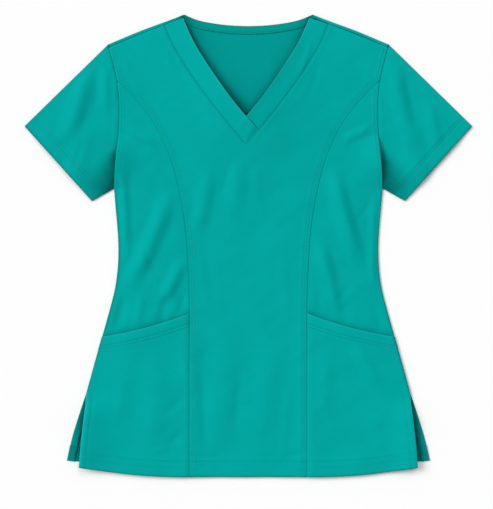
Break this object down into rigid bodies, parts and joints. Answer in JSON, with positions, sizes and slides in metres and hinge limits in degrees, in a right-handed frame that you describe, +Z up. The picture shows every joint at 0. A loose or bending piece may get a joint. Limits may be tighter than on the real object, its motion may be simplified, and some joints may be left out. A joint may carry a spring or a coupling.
{
  "type": "scrub top",
  "caption": "Short-sleeved V-neck medical scrub top with shaped side panels and slanted pockets, laid flat on its back.",
  "frame": {"origin": "on the resting surface, under the middle of the garment's length and width", "axes": "+X to the viewer's right across the garment, +Y from the hem to the neck, +Z up from the surface, away from the back panel"},
  "size_m": [0.6404, 0.66, 0.0116],
  "materials": {
    "cloth": "plain-woven polyester and cotton, matt with a soft sheen",
    "thread": "matching spun sewing thread"
  },
  "bodies": {
    "root": {"back": "cloth", "front_centre": "cloth", "front_side_left": "cloth", "front_side_right": "cloth", "sleeve_left": "cloth", "sleeve_right": "cloth", "neck_band_left": "cloth", "neck_band_right": "cloth", "neck_facing": "cloth", "pocket_left": "cloth", "pocket_right": "cloth"}
  },
  "joints": []
}
